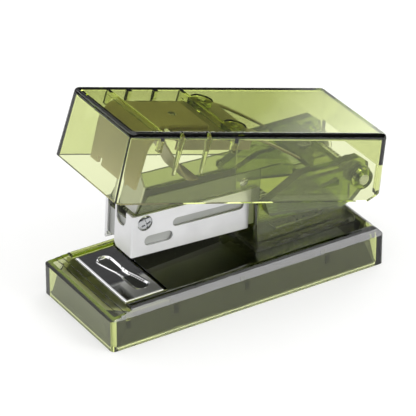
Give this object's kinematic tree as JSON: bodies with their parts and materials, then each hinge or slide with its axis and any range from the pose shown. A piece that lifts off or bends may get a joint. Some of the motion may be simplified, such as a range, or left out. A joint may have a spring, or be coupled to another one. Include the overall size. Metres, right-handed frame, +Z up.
{
  "type": "stapler",
  "caption": "Mini desktop stapler: hollow transparent base and box-shaped cap, chrome staple magazine with spring-fed pusher, rear hinge pin, anvil plate at the nose.",
  "frame": {"origin": "middle of the footprint of the whole stapler at rest, on the plane that it stands on", "axes": "+X to the rear (hinge end), -X to the nose, +Z up, Y across the width"},
  "size_m": [0.0699, 0.0286, 0.049],
  "materials": {
    "green_plastic": "clear yellow-green moulded polystyrene, polished",
    "dark_plastic": "dark grey moulded plastic",
    "rubber": "matt black rubber",
    "white_plastic": "natural nylon",
    "chrome": "bright chrome-plated sheet steel",
    "bright_steel": "bright drawn sheet steel",
    "spring_steel": "tempered spring steel",
    "zinc_steel": "zinc-plated screw"
  },
  "bodies": {
    "base": {"base_shell": "green_plastic", "bottom_tray": "dark_plastic", "rubber_feet": "rubber", "anvil_plate": "chrome", "hinge_bracket": "green_plastic", "bracket_screws": "zinc_steel", "hinge_pin": "bright_steel", "hinge_bushes": "white_plastic", "lift_spring": "spring_steel"},
    "magazine": {"magazine_cover": "chrome", "magazine_channel": "bright_steel", "front_rivets": "chrome", "rear_rivets": "bright_steel", "staple_rail": "bright_steel", "guide_rod": "bright_steel", "pusher_spring": "spring_steel", "carrier_housing": "green_plastic", "housing_screw": "zinc_steel"},
    "pusher": {"staple_pusher": "bright_steel"},
    "cap": {"cap_shell": "green_plastic", "driver_holder": "bright_steel", "holder_screw": "zinc_steel", "driver_blade": "spring_steel", "leaf_spring": "bright_steel", "spring_screws": "zinc_steel"}
  },
  "joints": [
    {"name": "magazine_pivot", "type": "hinge", "parent": "base", "child": "magazine", "pos_m": [0.0291, 0, 0.0212], "axis": [0, -1, 0], "range_deg": [0, 6.6], "stiffness_Nm_per_rad": 0.6, "springref_deg": -3.44, "deforming": ["lift_spring"]},
    {"name": "cap_pivot", "type": "hinge", "parent": "magazine", "child": "cap", "pos_m": [0.0291, 0, 0.0212], "axis": [0, -1, 0], "range_deg": [-95, 10.4], "stiffness_Nm_per_rad": 0.4, "springref_deg": -0.52, "deforming": ["leaf_spring"]},
    {"name": "pusher_slide", "type": "slide", "parent": "magazine", "child": "pusher", "axis": [0.9984, 0, -0.0558], "range_m": [0, 0.024], "stiffness_N_per_m": 20, "springref_m": -0.01, "deforming": ["pusher_spring"]}
  ]
}
